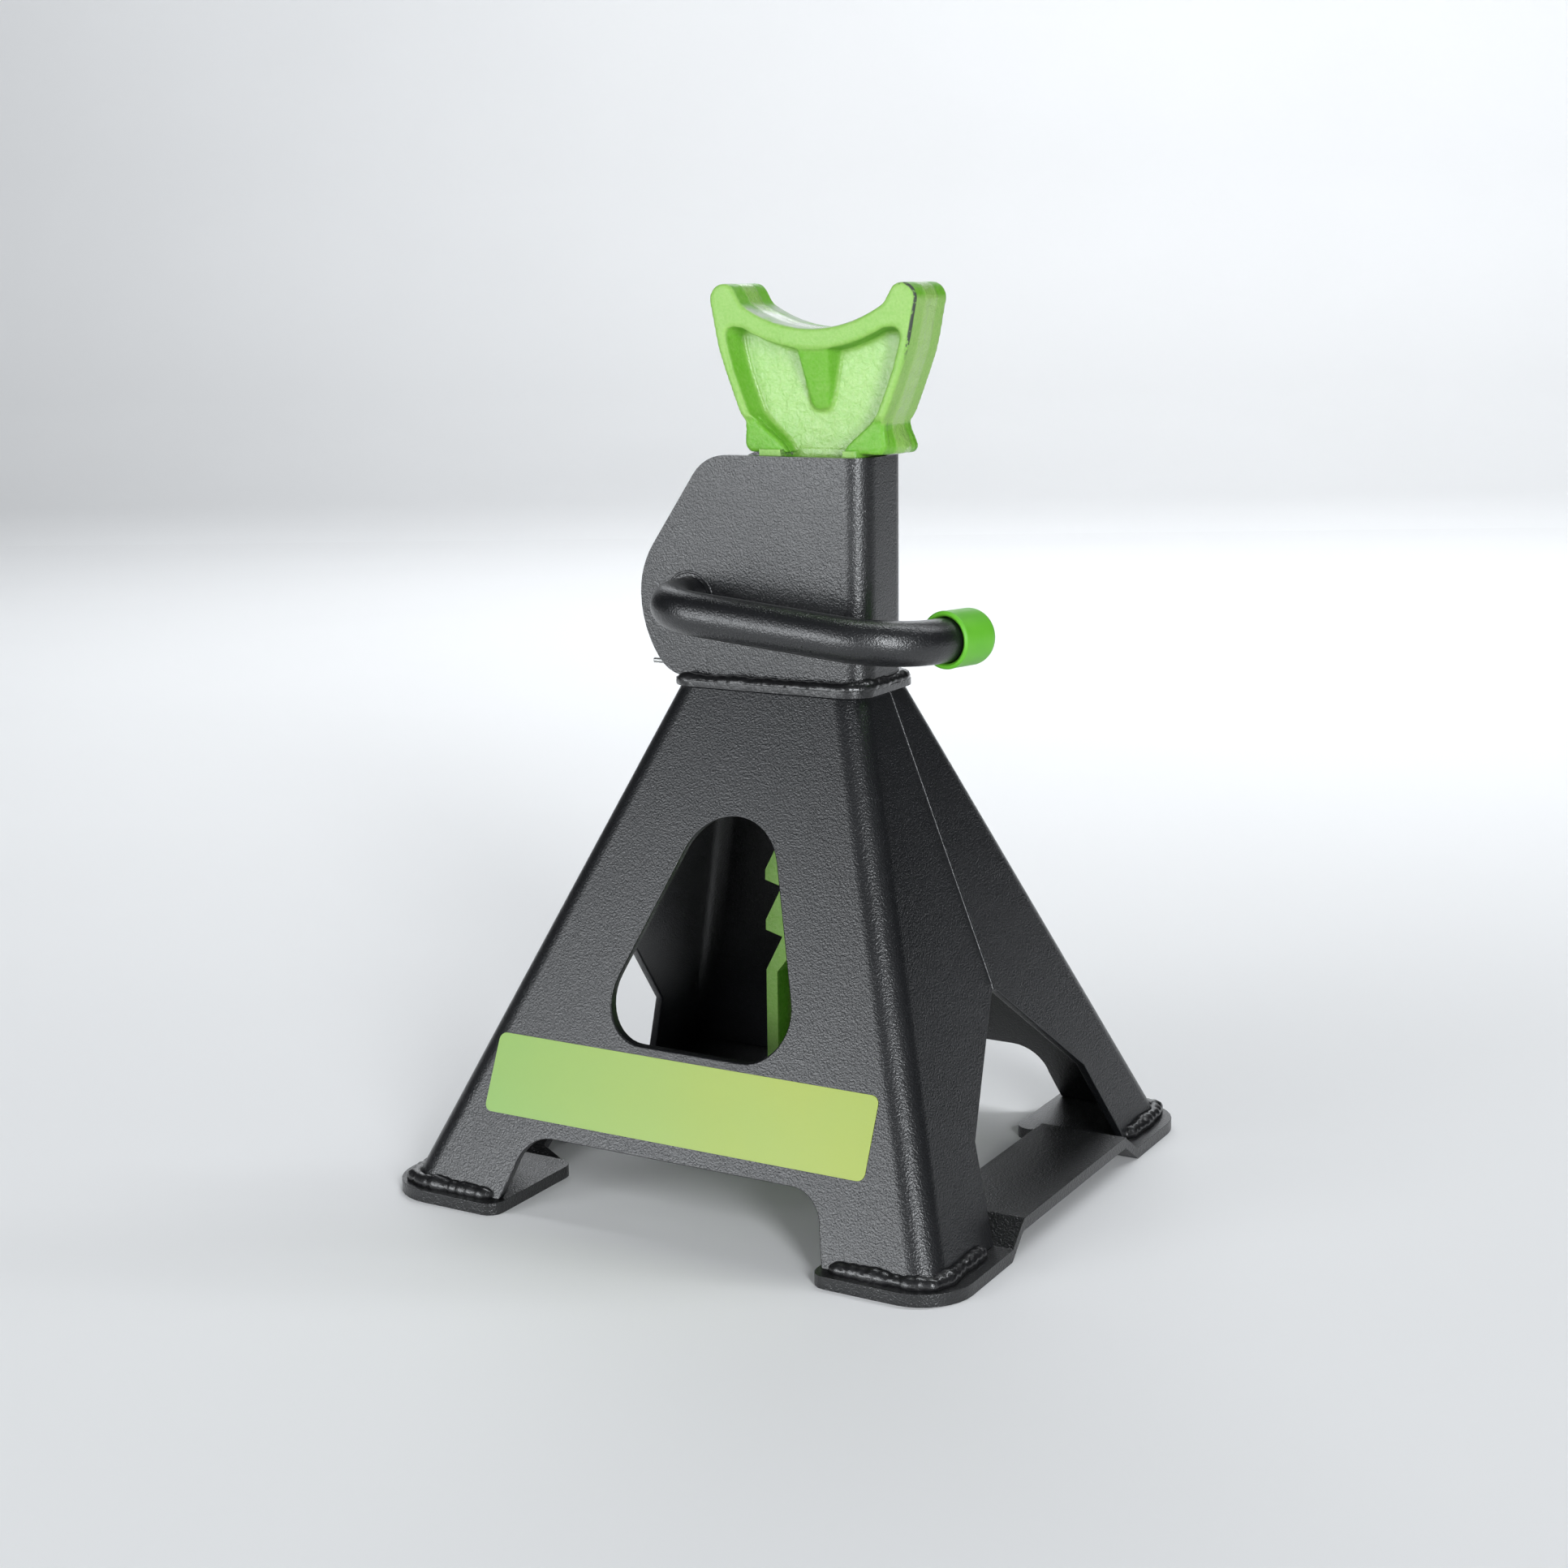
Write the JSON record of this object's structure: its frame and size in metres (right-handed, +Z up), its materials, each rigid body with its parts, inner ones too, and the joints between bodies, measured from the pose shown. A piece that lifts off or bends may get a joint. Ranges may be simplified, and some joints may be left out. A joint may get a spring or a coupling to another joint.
{
  "type": "axle jack stand",
  "caption": "Free-standing ratchet axle stand: folded sheet pyramid on foot straps, welded mast, notched cast column with a horned saddle, and a cranked handle that turns a locking pawl.",
  "frame": {"origin": "on the ground, under the centre of the four feet", "axes": "+Z up, along the column's travel; -Y is the front face that carries the label and the handle's run; -X is the pawl's side of the mast"},
  "size_m": [0.206, 0.1904, 0.29],
  "materials": {
    "black_powder_coat": "textured satin powder coat",
    "green_paint": "glossy paint over rough casting",
    "green_vinyl": "smooth dipped vinyl",
    "zinc_steel": "zinc plated",
    "label_film": "satin printed film"
  },
  "bodies": {
    "root": {"base_shell_front": "black_powder_coat", "base_shell_rear": "black_powder_coat", "seam_weld_left": "black_powder_coat", "seam_weld_right": "black_powder_coat", "foot_strap_left": "black_powder_coat", "foot_strap_right": "black_powder_coat", "foot_welds": "black_powder_coat", "mast_channel": "black_powder_coat", "neck_weld": "black_powder_coat", "upper_guide_plate": "black_powder_coat", "lower_guide_plate": "black_powder_coat", "return_spring": "zinc_steel", "spring_anchor_pin": "zinc_steel", "label_sheet": "label_film"},
    "column": {"ratchet_column": "green_paint", "column_stop_pin": "zinc_steel"},
    "handle": {"handle_lever": "black_powder_coat", "handle_cap": "green_vinyl", "locking_pawl": "zinc_steel", "pawl_roll_pin": "zinc_steel", "shaft_washer": "zinc_steel", "shaft_split_pin": "zinc_steel"}
  },
  "joints": [
    {"name": "column_lift", "type": "slide", "parent": "root", "child": "column", "axis": [0, 0, 1], "range_m": [0, 0.102]},
    {"name": "handle_swing", "type": "hinge", "parent": "root", "child": "handle", "pos_m": [-0.03, 0, 0.1905], "axis": [0, -1, 0], "range_deg": [0, 32], "deforming": ["return_spring"]}
  ]
}
